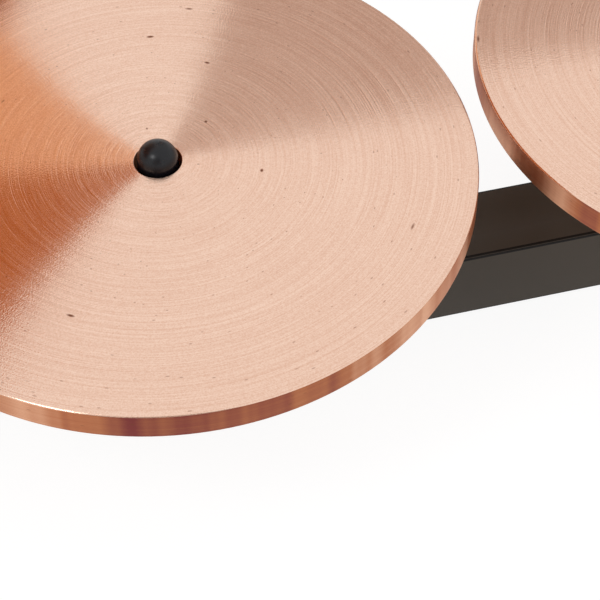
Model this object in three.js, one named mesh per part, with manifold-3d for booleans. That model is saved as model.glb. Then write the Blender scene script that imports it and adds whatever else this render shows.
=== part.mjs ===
// A chromatic octave of crotales: thirteen thick bronze discs, each lying loose on a felt washer
// over its own post. The eight naturals stand on a front bar. The five sharps stand on a rear bar
// that lies across two cross bars, one bar height higher. Each cross bar is let into the front
// bar with a tenon, screwed to the rear bar from below, and bored for the rod of a stand.
// Millimetres, +Z up. X runs along the bars from low notes to high, and Y from front to back.
// The origin is under the middle of the whole set, on the plane that it rests on.

import * as THREE from "three";
import { mergeVertices } from "three/addons/utils/BufferGeometryUtils.js";
import Module from "manifold-3d";

const wasm = await Module();
wasm.setup();

// Notes, each with its steps of a semitone above the lowest
const NATURAL_STEPS = [
  ["c_low", 0],
  ["d", 2],
  ["e", 4],
  ["f", 5],
  ["g", 7],
  ["a", 9],
  ["b", 11],
  ["c_high", 12],
];
const SHARP_STEPS = [
  ["c_sharp", 1],
  ["d_sharp", 3],
  ["f_sharp", 6],
  ["g_sharp", 8],
  ["a_sharp", 10],
];

// Gaps that every contact and every fit is made with
const CONTACT_GAP = 0.25;
const SCREW_FIT = 0.3;
const CUT_OVERRUN = 1;

// Disc. Its pitch goes as its thickness over its diameter squared, and all are equally thick,
// so the diameter falls by the 24th root of two for each semitone.
const LOWEST_DIAMETER = 145.9;
const SEMITONE_SHARE = 2 ** (-1 / 24);
const DISC_THICKNESS = 6.1;
const DISC_CHAMFER = 0.4;
const BORE_CLEARANCE = 0.75;
const BOSS_DIAMETER = 26;
const BOSS_TAPER = 1.5;
const BOSS_HEIGHT = 5;

// Rows
const DISC_GAP = 5.4;
const ROW_GAP = 3.4;

// Post
const STUD_DIAMETER = 6.35;
const STUD_BELOW_DOME = 0.6;
const SPIGOT_DEPTH = 12;
const POST_DIAMETER = 11;
const POST_HEIGHT = 21.5;
const SEAT_DIAMETER = 22;
const SEAT_THICKNESS = 2.2;
const HEX_ACROSS_FLATS = 14.3;
const HEX_HEIGHT = 6;

// Vinyl cap pushed over the stud, and the felt washer round it
const CAP_WALL = 0.675;
const CAP_FIT = 0.3;
const DOME_RISE = 0.3;
const FELT_DIAMETER = 25.4;
const FELT_THICKNESS = 5;
const FELT_FIT = 0.3;

// Bars
const BAR_SIZE = 19.05;
const BAR_CHAMFER = 0.5;
const BAR_END = 26;
const CROSS_WIDTH = 25.4;

// Clamp for a stand's rod, with its knob
const ROD_DIAMETER = 12.7;
const ROD_FIT = 0.2;
const KNOB_STUD_DIAMETER = 6;
const KNOB_FLOOR_CLEARANCE = 1;
const KNOB_SCALLOP = 1.5;
const KNOB_THICKNESS = 8;
const KNOB_BEVEL = 0.8;
const KNOB_HUB_DIAMETER = 10;
const KNOB_HUB_LENGTH = 4;
const KNOB_STANDOFF = 0.6;

// Tenon on a cross bar's front end
const TENON_DIAMETER = 12;
const TENON_LENGTH = 10;

// Button-head screws that come up through the cross bars into the rear bar
const SCREW_DIAMETER = 6;
const SCREW_REACH = 12;
const SCREW_HEAD_DIAMETER = 10.5;
const SCREW_HEAD_HEIGHT = 3.3;
const SCREW_SOCKET_FLATS = 4;
const SCREW_SOCKET_DEPTH = 2;
const RECESS_DEPTH = 4.5;

// Facets round each kind of piece
const DISC_SIDES = 40;
const FELT_SIDES = 16;
const TURNED_SIDES = 12;
const BORE_SIDES = 20;
const KNOB_LOBES = 6;
const KNOB_STEPS_PER_LOBE = 6;
const DOME_RINGS = 3;

// A solid is turned by an angle in degrees, and a geometry by radians
const RIGHT_ANGLE_DEGREES = 90;

// Sizes that follow from the ones above
const CAP_DIAMETER = STUD_DIAMETER + 2 * (CAP_FIT + CAP_WALL);
const DISC_BORE = CAP_DIAMETER + 2 * BORE_CLEARANCE;
const FELT_BORE = CAP_DIAMETER + 2 * FELT_FIT;
const ROD_BORE = ROD_DIAMETER + 2 * ROD_FIT;
const SCREW_HOLE = SCREW_DIAMETER + 2 * SCREW_FIT;
const RECESS_DIAMETER = SCREW_HEAD_DIAMETER + 2 * SCREW_FIT;
const KNOB_HOLE = KNOB_STUD_DIAMETER + 2 * SCREW_FIT;
const POST_HOLE = STUD_DIAMETER + 2 * SCREW_FIT;
const TENON_HOLE = TENON_DIAMETER + 2 * SCREW_FIT;
const KNOB_DIAMETER = BAR_SIZE - 2 * KNOB_FLOOR_CLEARANCE;

// Heights above the top of the bar that a post stands on
const FELT_BASE = POST_HEIGHT + CONTACT_GAP;
const BOSS_BASE = FELT_BASE + FELT_THICKNESS + CONTACT_GAP;
const DISC_BASE = BOSS_BASE + BOSS_HEIGHT;
const DISC_TOP = DISC_BASE + DISC_THICKNESS;
const DOME_BASE = DISC_TOP + DOME_RISE;
const DOME_RADIUS = CAP_DIAMETER / 2;

// Materials
const bronze = material("#dba688", 0.32, 1);
const blackBar = material("#37322f", 0.55, 0);
const blackVinyl = material("#1d1d20", 0.38, 0);
const blackFelt = material("#222224", 0.95, 0);
const blackSteel = material("#2b2b2d", 0.4, 0.8);
const blackPlastic = material("#242426", 0.5, 0);
const zincSteel = material("#b9bcc0", 0.35, 1);

function material(color, roughness, metalness) {
  return new THREE.MeshStandardMaterial({ color, roughness, metalness });
}

// A closed three.js geometry as a solid that can be joined and cut
function solid(geometry) {
  const bare = new THREE.BufferGeometry();
  bare.setAttribute("position", geometry.getAttribute("position"));
  bare.setIndex(geometry.index);
  const merged = mergeVertices(bare);
  return new wasm.Manifold(
    new wasm.Mesh({
      numProp: 3,
      vertProperties: merged.attributes.position.array,
      triVerts: new Uint32Array(merged.index.array),
    }),
  );
}

// A solid as a geometry for a mesh
function geometryOf(manifold) {
  const mesh = manifold.getMesh();
  const geometry = new THREE.BufferGeometry();
  geometry.setAttribute("position", new THREE.BufferAttribute(mesh.vertProperties, 3));
  geometry.setIndex(new THREE.BufferAttribute(mesh.triVerts, 1));
  geometry.computeVertexNormals();
  return geometry;
}

// A piece turned about Z, from [radius, height] points that run up the outside
function turned(profile, sides) {
  const points = profile.map(([radius, height]) => new THREE.Vector2(radius, height));
  return new THREE.LatheGeometry(points, sides).rotateX(Math.PI / 2);
}

// A straight pin along Z, from one height to another
function pin(diameter, from, to, sides) {
  const radius = diameter / 2;
  const geometry = new THREE.CylinderGeometry(radius, radius, to - from, sides);
  return solid(geometry.rotateX(Math.PI / 2).translate(0, 0, (from + to) / 2));
}

// A hexagonal prism along Z
function hexPrism(acrossFlats, from, to) {
  return pin(acrossFlats / Math.cos(Math.PI / 6), from, to, 6);
}

// A straight bar along X with chamfered edges, standing on z = 0, centred on y = 0
function squareBar(from, to, width, height) {
  const half = width / 2;
  const outline = new THREE.Shape([
    new THREE.Vector2(-half + BAR_CHAMFER, 0),
    new THREE.Vector2(half - BAR_CHAMFER, 0),
    new THREE.Vector2(half, BAR_CHAMFER),
    new THREE.Vector2(half, height - BAR_CHAMFER),
    new THREE.Vector2(half - BAR_CHAMFER, height),
    new THREE.Vector2(-half + BAR_CHAMFER, height),
    new THREE.Vector2(-half, height - BAR_CHAMFER),
    new THREE.Vector2(-half, BAR_CHAMFER),
  ]);
  const geometry = new THREE.ExtrudeGeometry(outline, { depth: to - from, bevelEnabled: false });
  geometry.rotateX(Math.PI / 2).rotateZ(Math.PI / 2);
  return solid(geometry.translate(from, 0, 0));
}

// Radius of the disc for a note
function discRadius(semitones) {
  return (LOWEST_DIAMETER / 2) * SEMITONE_SHARE ** semitones;
}

// Places of the posts along X, with the front row's ends at equal distances from x = 0
function naturalPlaces() {
  const places = [];
  let edge = 0;
  for (const [, semitones] of NATURAL_STEPS) {
    const radius = discRadius(semitones);
    places.push(edge + radius);
    edge += 2 * radius + DISC_GAP;
  }
  const length = edge - DISC_GAP;
  return places.map((place) => place - length / 2);
}

// A sharp stands behind the gap between its two natural neighbours
function sharpPlaces(naturals) {
  return SHARP_STEPS.map(([, semitones]) => {
    const above = NATURAL_STEPS.findIndex(([, other]) => other > semitones);
    return (naturals[above - 1] + naturals[above]) / 2;
  });
}

// The lowest sharp clears the lowest natural by ROW_GAP, seen from above
function rowSpacing(naturals, sharps) {
  const reach = discRadius(NATURAL_STEPS[0][1]) + discRadius(SHARP_STEPS[0][1]) + ROW_GAP;
  const along = sharps[0] - naturals[0];
  return Math.sqrt(reach ** 2 - along ** 2);
}

// Disc with a boss round the bore on its underside
function discGeometry(semitones) {
  const rim = discRadius(semitones);
  const bore = DISC_BORE / 2;
  const boss = BOSS_DIAMETER / 2;
  return turned(
    [
      [bore, BOSS_BASE],
      [boss - BOSS_TAPER, BOSS_BASE],
      [boss, DISC_BASE],
      [rim - DISC_CHAMFER, DISC_BASE],
      [rim, DISC_BASE + DISC_CHAMFER],
      [rim, DISC_TOP - DISC_CHAMFER],
      [rim - DISC_CHAMFER, DISC_TOP],
      [bore, DISC_TOP],
      [bore, BOSS_BASE],
    ],
    DISC_SIDES,
  );
}

function feltGeometry() {
  const inner = FELT_BORE / 2;
  const outer = FELT_DIAMETER / 2;
  const top = FELT_BASE + FELT_THICKNESS;
  return turned(
    [
      [inner, FELT_BASE],
      [outer, FELT_BASE],
      [outer, top],
      [inner, top],
      [inner, FELT_BASE],
    ],
    FELT_SIDES,
  );
}

// Round-ended tube that is open below
function capGeometry() {
  const outer = CAP_DIAMETER / 2;
  const inner = outer - CAP_WALL;
  const dome = [];
  for (let ring = 0; ring < DOME_RINGS; ring += 1) {
    const angle = (ring / DOME_RINGS) * (Math.PI / 2);
    dome.push([DOME_RADIUS * Math.cos(angle), DOME_BASE + DOME_RADIUS * Math.sin(angle)]);
  }
  return turned(
    [
      [0, DOME_BASE],
      [inner, DOME_BASE],
      [inner, FELT_BASE],
      [outer, FELT_BASE],
      ...dome,
      [0, DOME_BASE + DOME_RADIUS],
    ],
    TURNED_SIDES,
  );
}

// Turned post: threaded spigot, hexagon for a spanner, shank, seat for the felt, and stud
function postGeometry() {
  const stud = STUD_DIAMETER / 2;
  const shank = POST_DIAMETER / 2;
  const seat = SEAT_DIAMETER / 2;
  const studTop = DOME_BASE - STUD_BELOW_DOME;
  const shaft = turned(
    [
      [0, -SPIGOT_DEPTH],
      [stud, -SPIGOT_DEPTH],
      [stud, CONTACT_GAP],
      [shank, CONTACT_GAP],
      [shank, POST_HEIGHT - SEAT_THICKNESS],
      [seat, POST_HEIGHT - SEAT_THICKNESS],
      [seat, POST_HEIGHT],
      [stud, POST_HEIGHT],
      [stud, studTop],
      [0, studTop],
    ],
    TURNED_SIDES,
  );
  return geometryOf(solid(shaft).add(hexPrism(HEX_ACROSS_FLATS, CONTACT_GAP, HEX_HEIGHT)));
}

// A bar with a blind hole from above for each post
function drilledBar(places) {
  const first = places[0] - BAR_END;
  const last = places[places.length - 1] + BAR_END;
  let bar = squareBar(first, last, BAR_SIZE, BAR_SIZE);
  const floor = BAR_SIZE - SPIGOT_DEPTH - SCREW_FIT;
  for (const place of places) {
    const hole = pin(POST_HOLE, floor, BAR_SIZE + CUT_OVERRUN, TURNED_SIDES);
    bar = bar.subtract(hole.translate([place, 0, 0]));
  }
  return bar;
}

// The front bar has a socket in its back face for each cross bar's tenon
function frontBar(places, crossPlaces) {
  let bar = drilledBar(places);
  const face = BAR_SIZE / 2;
  const floor = face + CONTACT_GAP - TENON_LENGTH - SCREW_FIT;
  for (const place of crossPlaces) {
    const socket = pin(TENON_HOLE, floor, face + CUT_OVERRUN, TURNED_SIDES)
      .rotate([-RIGHT_ANGLE_DEGREES, 0, 0])
      .translate([place, 0, BAR_SIZE / 2]);
    bar = bar.subtract(socket);
  }
  return bar;
}

// The rear bar takes a screw from below at each cross bar
function rearBar(places, crossPlaces) {
  let bar = drilledBar(places);
  for (const place of crossPlaces) {
    const hole = pin(SCREW_HOLE, -CUT_OVERRUN, SCREW_REACH + SCREW_FIT, TURNED_SIDES);
    bar = bar.subtract(hole.translate([place, 0, 0]));
  }
  return bar;
}

// A cross bar along Y, from its shoulder at the front bar (y = 0) to its far end.
// The side is -1 or 1: the way along X that the clamp's knob faces.
function crossBar(length, side) {
  const middle = BAR_SIZE / 2;
  const top = BAR_SIZE + CUT_OVERRUN;
  const rod = rodPlace(length);
  const screw = screwPlace(length);
  const bar = squareBar(0, length, CROSS_WIDTH, BAR_SIZE).rotate([0, 0, RIGHT_ANGLE_DEGREES]);
  const tenon = pin(TENON_DIAMETER, -TENON_LENGTH, CUT_OVERRUN, TURNED_SIDES)
    .rotate([-RIGHT_ANGLE_DEGREES, 0, 0])
    .translate([0, 0, middle]);
  const knobHole = pin(KNOB_HOLE, 0, CROSS_WIDTH / 2 + CUT_OVERRUN, TURNED_SIDES)
    .rotate([0, side * RIGHT_ANGLE_DEGREES, 0])
    .translate([0, rod, middle]);
  return bar
    .add(tenon)
    .subtract(pin(ROD_BORE, -CUT_OVERRUN, top, BORE_SIDES).translate([0, rod, 0]))
    .subtract(knobHole)
    .subtract(pin(SCREW_HOLE, -CUT_OVERRUN, top, TURNED_SIDES).translate([0, screw, 0]))
    .subtract(pin(RECESS_DIAMETER, -CUT_OVERRUN, RECESS_DEPTH, TURNED_SIDES).translate([0, screw, 0]));
}

// The rod's bore is halfway between the two bars
function rodPlace(length) {
  return (length - BAR_SIZE) / 2;
}

// The screw is under the middle of the rear bar
function screwPlace(length) {
  return length - BAR_SIZE / 2;
}

// Star knob on a stud, along +Z, with z = 0 on the axis of the rod's bore
function knobGeometry() {
  const tip = ROD_BORE / 2 + SCREW_FIT;
  const hubBase = CROSS_WIDTH / 2 + KNOB_STANDOFF;
  const knobBase = hubBase + KNOB_HUB_LENGTH;
  const outline = [];
  const steps = KNOB_LOBES * KNOB_STEPS_PER_LOBE;
  for (let step = 0; step < steps; step += 1) {
    const angle = (step / steps) * 2 * Math.PI;
    const dip = (KNOB_SCALLOP * (1 - Math.cos(KNOB_LOBES * angle))) / 2;
    const radius = KNOB_DIAMETER / 2 - dip;
    outline.push(new THREE.Vector2(radius * Math.cos(angle), radius * Math.sin(angle)));
  }
  const star = new THREE.ExtrudeGeometry(new THREE.Shape(outline), {
    depth: KNOB_THICKNESS - 2 * KNOB_BEVEL,
    bevelThickness: KNOB_BEVEL,
    bevelSize: KNOB_BEVEL,
    bevelOffset: -KNOB_BEVEL,
    bevelSegments: 1,
  }).translate(0, 0, knobBase + KNOB_BEVEL);
  const middle = knobBase + KNOB_THICKNESS / 2;
  const hub = pin(KNOB_HUB_DIAMETER, hubBase, middle, TURNED_SIDES);
  const stud = pin(KNOB_STUD_DIAMETER, tip, middle, TURNED_SIDES);
  return geometryOf(solid(star).add(hub).add(stud));
}

// Button-head screw along +Z, with z = 0 on the face that its head bears on
function screwGeometry() {
  const shank = SCREW_DIAMETER / 2;
  const head = SCREW_HEAD_DIAMETER / 2;
  const crown = SCREW_HEAD_DIAMETER / 3;
  const tip = BAR_SIZE - RECESS_DEPTH + CONTACT_GAP + SCREW_REACH;
  const body = turned(
    [
      [0, -SCREW_HEAD_HEIGHT],
      [crown, -SCREW_HEAD_HEIGHT],
      [head, -SCREW_HEAD_HEIGHT / 3],
      [head, -CONTACT_GAP],
      [shank, -CONTACT_GAP],
      [shank, tip],
      [0, tip],
    ],
    TURNED_SIDES,
  );
  const floor = -SCREW_HEAD_HEIGHT + SCREW_SOCKET_DEPTH;
  const socket = hexPrism(SCREW_SOCKET_FLATS, -SCREW_HEAD_HEIGHT - CUT_OVERRUN, floor);
  return geometryOf(solid(body).subtract(socket));
}

// Adds a named mesh to a group and returns it
function addPiece(group, name, geometry, finish, x, y, z) {
  const mesh = new THREE.Mesh(geometry, finish);
  mesh.name = name;
  mesh.position.set(x, y, z);
  group.add(mesh);
  return mesh;
}

// One note's four pieces, at a place along its bar
function addNote(row, name, semitones, x) {
  addPiece(row, `post_${name}`, postGeometry(), blackSteel, x, 0, BAR_SIZE);
  addPiece(row, `felt_${name}`, feltGeometry(), blackFelt, x, 0, BAR_SIZE);
  addPiece(row, `crotale_${name}`, discGeometry(semitones), bronze, x, 0, BAR_SIZE);
  addPiece(row, `cap_${name}`, capGeometry(), blackVinyl, x, 0, BAR_SIZE);
}

const naturalX = naturalPlaces();
const sharpX = sharpPlaces(naturalX);
const spacing = rowSpacing(naturalX, sharpX);

// Each cross bar stands halfway between a natural's post and the sharp's post beside it
const crossX = [
  (naturalX[1] + sharpX[1]) / 2,
  (naturalX[5] + sharpX[4]) / 2,
];
const crossSides = [-1, 1];
const crossNames = ["left", "right"];
const crossStart = BAR_SIZE / 2 + CONTACT_GAP;
const crossLength = spacing + BAR_SIZE / 2 - crossStart;

const frontRow = new THREE.Group();
addPiece(frontRow, "front_bar", geometryOf(frontBar(naturalX, crossX)), blackBar, 0, 0, 0);
NATURAL_STEPS.forEach(([name, semitones], i) => addNote(frontRow, name, semitones, naturalX[i]));

const rearRow = new THREE.Group();
rearRow.position.set(0, spacing, BAR_SIZE + CONTACT_GAP);
addPiece(rearRow, "rear_bar", geometryOf(rearBar(sharpX, crossX)), blackBar, 0, 0, 0);
SHARP_STEPS.forEach(([name, semitones], i) => addNote(rearRow, name, semitones, sharpX[i]));

const carrier = new THREE.Group();
crossX.forEach((x, i) => {
  const name = crossNames[i];
  const bar = geometryOf(crossBar(crossLength, crossSides[i]));
  addPiece(carrier, `cross_bar_${name}`, bar, blackBar, x, crossStart, 0);
  const clampY = crossStart + rodPlace(crossLength);
  const middle = BAR_SIZE / 2;
  const knob = addPiece(carrier, `clamp_knob_${name}`, knobGeometry(), blackPlastic, x, clampY, middle);
  knob.rotation.y = (crossSides[i] * Math.PI) / 2;
  const screwY = crossStart + screwPlace(crossLength);
  addPiece(carrier, `bar_screw_${name}`, screwGeometry(), zincSteel, x, screwY, RECESS_DEPTH);
});

// The front row's largest disc and the rear row's largest disc reach equally far from y = 0
const crotales = new THREE.Group();
const frontReach = discRadius(NATURAL_STEPS[0][1]);
const rearReach = spacing + discRadius(SHARP_STEPS[0][1]);
crotales.position.y = (frontReach - rearReach) / 2;
crotales.add(frontRow, rearRow, carrier);

export default crotales;
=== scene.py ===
# %% [markdown]
# # A chromatic octave of crotales
# Thirteen thick discs of bell bronze lie loose on felt washers over their posts. The posts stand
# on two black bars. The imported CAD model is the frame: it says where every piece is and how it
# moves. This lesson dresses that frame: finer turned pieces, and a finish for each surface.

# %% Load the frame
import math

import bmesh
import bpy
from mathutils import Matrix, Vector


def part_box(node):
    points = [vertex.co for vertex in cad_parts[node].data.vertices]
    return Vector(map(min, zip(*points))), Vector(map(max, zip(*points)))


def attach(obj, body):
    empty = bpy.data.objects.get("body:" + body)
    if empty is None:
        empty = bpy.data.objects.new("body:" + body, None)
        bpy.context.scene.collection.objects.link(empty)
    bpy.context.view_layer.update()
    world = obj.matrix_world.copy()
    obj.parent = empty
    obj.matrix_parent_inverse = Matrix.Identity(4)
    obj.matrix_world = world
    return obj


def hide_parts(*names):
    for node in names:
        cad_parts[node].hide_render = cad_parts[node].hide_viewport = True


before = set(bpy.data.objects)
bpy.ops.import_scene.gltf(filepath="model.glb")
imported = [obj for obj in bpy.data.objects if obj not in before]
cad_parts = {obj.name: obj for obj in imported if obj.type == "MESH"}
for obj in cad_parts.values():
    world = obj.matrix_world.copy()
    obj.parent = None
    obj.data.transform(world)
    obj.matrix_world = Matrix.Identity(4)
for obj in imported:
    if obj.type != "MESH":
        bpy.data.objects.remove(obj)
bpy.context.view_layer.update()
MM = 0.001

# %% [markdown]
# ## The notes
# One name per disc, post, felt washer and cap. Front row first, then the rear row. A node's box
# gives the axis of its disc: the middle of the box, seen from above.

# %% The notes and their axes
FRONT_NOTES = ["c_low", "d", "e", "f", "g", "a", "b", "c_high"]
REAR_NOTES = ["c_sharp", "d_sharp", "f_sharp", "g_sharp", "a_sharp"]
NOTES = FRONT_NOTES + REAR_NOTES


def axis_foot(node_name):
    """The point of a turned node's axis that is level with its lowest point."""
    low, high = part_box(node_name)
    return Vector(((low.x + high.x) / 2, (low.y + high.y) / 2, low.z))


print("axis of e in mm:", [round(v / MM, 2) for v in axis_foot("crotale_e")])

# %% [markdown]
# ## The camera
# The photograph looks down on two neighbouring discs at about 50 degrees, close up, with a long
# lens. A camera that was fitted to the discs' outlines gives its place from the middle of the
# top face of disc e. Lens and sensor are plain numbers, and there is no lens shift.

# %% Camera
CAMERA_FROM_DISC = Vector((-39.9, -272.2, 278.8)) * MM
LENS_MM = 115.4
SENSOR_MM = 36
NEAREST_SEEN = 20 * MM
LOOKS_DOWN = math.radians(49.70)
TURNED_RIGHT = math.radians(14.33)
ROLLED = math.radians(-0.17)

scene = bpy.context.scene
low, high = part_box("crotale_e")
disc_middle = Vector(((low.x + high.x) / 2, (low.y + high.y) / 2, high.z))
camera_data = bpy.data.cameras.new("photo_camera")
camera_data.lens = LENS_MM
camera_data.sensor_width = SENSOR_MM
camera_data.clip_start = NEAREST_SEEN
camera = bpy.data.objects.new("photo_camera", camera_data)
turn = Matrix.Rotation(-TURNED_RIGHT, 4, "Z")
tilt = Matrix.Rotation(math.pi / 2 - LOOKS_DOWN, 4, "X")
roll = Matrix.Rotation(ROLLED, 4, "Z")
camera.matrix_world = Matrix.Translation(disc_middle + CAMERA_FROM_DISC) @ turn @ tilt @ roll
scene.collection.objects.link(camera)
scene.camera = camera
scene.view_settings.view_transform = "Standard"
print("camera in mm:", [round(v / MM, 1) for v in camera.location])

# %% [markdown]
# ## Helpers
# One helper adds a node, sets it and links it, in shader trees and in Geometry Nodes alike. What
# it gets as an input may be a plain value, a socket, or a whole node, whose first live output is
# then used. Another turns an sRGB hex colour, as a paint chart gives it, into the linear values
# that shaders use.

# %% Node and colour helpers
MATH = "ShaderNodeMath"
VECTORS = "ShaderNodeVectorMath"
MIX = "ShaderNodeMix"
NOISE = "ShaderNodeTexNoise"
LEVEL = (1, 1, 0)  # times a vector, this drops its height


def wire(node, inputs):
    """Sets each input to a value, or links it to a socket or to a node's first live output."""
    for key, value in inputs.items():
        if isinstance(value, bpy.types.Node):
            value = next(out for out in value.outputs if out.enabled)
        if isinstance(value, bpy.types.NodeSocket):
            node.id_data.links.new(value, node.inputs[key])
        else:
            node.inputs[key].default_value = value


def add(tree, kind, inputs=None, **settings):
    """Adds a node with its settings and its inputs."""
    made = tree.nodes.new(kind)
    for name, value in settings.items():
        setattr(made, name, value)
    wire(made, inputs or {})
    return made


def linear(code):
    """An sRGB hex colour as linear red, green, blue and alpha."""
    shares = [int(code[i : i + 2], 16) / 255 for i in (1, 3, 5)]
    light = [s / 12.92 if s <= 0.04045 else ((s + 0.055) / 1.055) ** 2.4 for s in shares]
    return (*light, 1.0)


def new_finish(name):
    """A material with only a Principled BSDF on its output."""
    finish = bpy.data.materials.new(name)
    finish.use_nodes = True
    tree = finish.node_tree
    tree.nodes.clear()
    shader = add(tree, "ShaderNodeBsdfPrincipled")
    add(tree, "ShaderNodeOutputMaterial", {"Surface": shader})
    return finish, tree, shader


def relief(tree, *layers):
    """Stacks bumps, one for each (pattern, depth in mm), and gives the last one."""
    below = {}
    for pattern, depth in layers:
        bump = add(tree, "ShaderNodeBump", {"Height": pattern, "Distance": depth * MM, **below})
        below = {"Normal": bump}
    return bump


print("bronze test colour:", [round(v, 3) for v in linear("#dba688")])

# %% [markdown]
# ## Finish 1: bell bronze, faced on a lathe
# Bell bronze is about four parts copper to one part tin. A crotale is cast, then faced on a
# lathe, so its surface is thousands of shallow circular cuts. Light that meets such cuts spreads
# across them and hardly along them, and that gives the bright and dark wedges that fan out from
# the hole. Painting the wedges would be wrong, because they belong to the lamps and to where
# one stands. Instead the Principled shader's anisotropy makes them: its tangent runs round the
# axis, and a quarter turn of it spreads the gloss across the cuts.
#
# Each disc's mesh carries an attribute, turned_at: the place of a point from the disc's own
# axis. Its length is the distance from the axis, and every circular pattern reads that.

# %% Bronze
BRONZE_LIGHT = linear("#f4d2bd")
BRONZE_DARK = linear("#e2b8a1")
# The rim's colours are painted reflection and shade of the ground under the disc.
RIM_RED_PAINTED_SHADE = linear("#86413e")
RIM_ORANGE_PAINTED_REFLECTION = linear("#b87450")
RIM_PALE_PAINTED_REFLECTION = linear("#e0ab8a")
PIT_BROWN = linear("#7a4a34")
TO_WORLD = {"vector_type": "VECTOR", "convert_from": "OBJECT", "convert_to": "WORLD"}

bronze, tree, shader = new_finish("bell_bronze_faced_on_a_lathe")
turned_at = add(tree, "ShaderNodeAttribute", attribute_name="turned_at").outputs["Vector"]
piece_number = add(tree, "ShaderNodeAttribute", attribute_name="piece_number").outputs["Fac"]
wall = add(tree, "ShaderNodeAttribute", attribute_name="wall").outputs["Fac"]
flat = add(tree, VECTORS, {0: turned_at, 1: LEVEL}, operation="MULTIPLY")
radius = add(tree, VECTORS, {0: flat}, operation="LENGTH")
height = add(tree, "ShaderNodeSeparateXYZ", {0: turned_at}).outputs["Z"]
feed = add(tree, MATH, {0: radius, 1: height}, operation="SUBTRACT")
outward = add(tree, VECTORS, {0: flat}, operation="NORMALIZE")
along_cut = add(tree, VECTORS, {0: (0, 0, 1), 1: outward}, operation="CROSS_PRODUCT")
tangent = add(tree, "ShaderNodeVectorTransform", {0: along_cut}, **TO_WORLD)
wire(
    shader,
    {"Metallic": 1.0, "Anisotropic": 0.9, "Anisotropic Rotation": 0.25, "Tangent": tangent},
)
print("bronze nodes that find the cuts' direction:", len(tree.nodes))

# %% [markdown]
# The cuts themselves: noise that is stretched round the axis. Its first coordinate, the feed,
# counts cuts outwards over the face and on down the rim. The other two are the direction from
# the axis, so that there is no seam. Chatter is the same, broader and fainter, and the grain of
# the casting lies over both.

# %% Bronze: cuts and chatter
CUT_PITCH = 0.24 * MM  # real feed marks are about a third of this, too fine to show
CHATTER_PITCH = 1.0 * MM
GRAIN = 0.32 * MM  # the cast grain itself is finer
PIECE_STEP = 37.7  # pitches from one piece's pattern to the next, so that no two discs match
spread = add(tree, "ShaderNodeSeparateXYZ", {0: outward})


def ring_noise(pitch, wander, detail, shift):
    """Noise in rings: pitch apart, changing slowly round the disc as wander says."""
    count = add(tree, MATH, {0: feed, 1: 1 / pitch}, operation="MULTIPLY")
    own = add(tree, MATH, {0: piece_number, 1: PIECE_STEP, 2: shift}, operation="MULTIPLY_ADD")
    start = add(tree, MATH, {0: count, 1: own}, operation="ADD")
    across, up = (
        add(tree, MATH, {0: spread.outputs[axis], 1: wander}, operation="MULTIPLY")
        for axis in "XY"
    )
    place = add(tree, "ShaderNodeCombineXYZ", {0: start, 1: across, 2: up})
    return add(tree, NOISE, {"Vector": place, "Scale": 1.0, "Detail": detail, "Roughness": 0.6})


cuts = ring_noise(CUT_PITCH, wander=1.6, detail=2.0, shift=0.0)
chatter = ring_noise(CHATTER_PITCH, wander=0.8, detail=4.0, shift=11.0)
grain_place = add(tree, VECTORS, {0: turned_at, 1: (1 / GRAIN,) * 3}, operation="MULTIPLY")
grain = add(tree, NOISE, {"Vector": grain_place, "Scale": 1.0, "Detail": 1.0})
turned_relief = relief(tree, (cuts, 0.024), (chatter, 0.009), (grain, 0.007))
print("cuts in a centimetre:", round(10 * MM / CUT_PITCH))

# %% [markdown]
# A lathe tool leaves lopsided grooves: a long slope down towards the rim and a short steep one
# back up. So the face as a whole leans outwards a little, and its left half mirrors the left of
# the room and its right half the right. One addition to the normal does that.

# %% Bronze: lopsided grooves
GROOVE_LEAN = 0.05
outward_in_world = add(tree, "ShaderNodeVectorTransform", {0: outward}, **TO_WORLD)
leaning = add(
    tree,
    VECTORS,
    {0: outward_in_world, 1: (GROOVE_LEAN,) * 3, 2: turned_relief},
    operation="MULTIPLY_ADD",
)
wire(shader, {"Normal": add(tree, VECTORS, {0: leaning}, operation="NORMALIZE")})
print("the face leans by degrees:", round(math.degrees(math.atan(GROOVE_LEAN)), 1))

# %% [markdown]
# Casting leaves a few pinholes, which facing opens into small dark pits, drawn out along the
# cuts. A cell pattern in polar coordinates gives each cell one candidate, and only cells with a
# low random number keep theirs.

# %% Bronze: pits
FAINT = 0.45  # how dark the small pits are, next to the large
angle = add(tree, MATH, {0: spread.outputs["Y"], 1: spread.outputs["X"]}, operation="ARCTAN2")


def pits(spacing, cells_round, size, kept, shift):
    """One mask of pits: spacing outwards, cells_round to a radian, a kept share of them."""
    out = add(tree, MATH, {0: feed, 1: 1 / spacing, 2: shift}, operation="MULTIPLY_ADD")
    round_it = add(tree, MATH, {0: angle, 1: cells_round}, operation="MULTIPLY")
    place = add(tree, "ShaderNodeCombineXYZ", {0: out, 1: round_it, 2: piece_number})
    cell = add(tree, "ShaderNodeTexVoronoi", {"Vector": place, "Scale": 1.0})
    hole = {"From Min": size / 2, "From Max": size, "To Min": 1.0, "To Max": 0.0}
    shape = add(tree, "ShaderNodeMapRange", {"Value": cell.outputs["Distance"], **hole})
    chosen = add(tree, MATH, {0: cell.outputs["Color"], 1: kept}, operation="LESS_THAN")
    return add(tree, MATH, {0: shape, 1: chosen}, operation="MULTIPLY")


large_pits = pits(3.2 * MM, cells_round=5.0, size=0.13, kept=0.22, shift=0.0)
small_pits = pits(1.1 * MM, cells_round=20.0, size=0.17, kept=0.3, shift=5.0)
faint_pits = add(tree, MATH, {0: small_pits, 1: FAINT}, operation="MULTIPLY")
pit = add(tree, MATH, {0: large_pits, 1: faint_pits}, operation="MAXIMUM")
print("bronze nodes with the pits:", len(tree.nodes))
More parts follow.
